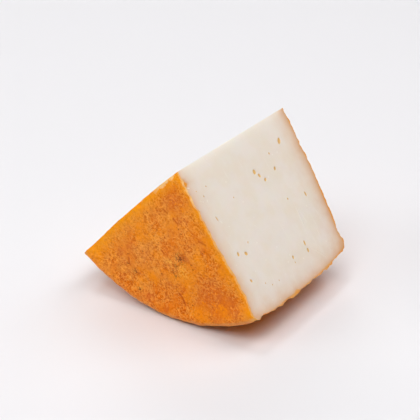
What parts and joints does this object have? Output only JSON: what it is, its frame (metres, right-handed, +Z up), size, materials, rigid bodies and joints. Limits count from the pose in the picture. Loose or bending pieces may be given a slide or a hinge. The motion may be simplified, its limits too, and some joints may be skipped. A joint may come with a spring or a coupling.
{
  "type": "goat cheese wedge",
  "caption": "Wedge cut from a small wheel of semi-cured goat cheese with an orange rubbed rind, standing on its curved side with the sharp inner edge on top.",
  "frame": {"origin": "on the ground below the middle of the wedge's box", "axes": "+Z up; the wheel's axis runs along Y, with the orange flat face towards -Y and the cut face that the picture shows towards +X and up"},
  "size_m": [0.0873, 0.076, 0.0677],
  "materials": {
    "cheese": "matte, waxy orange rind with ivory cut faces"
  },
  "bodies": {
    "root": {"cheese_wedge": "cheese"}
  },
  "joints": []
}
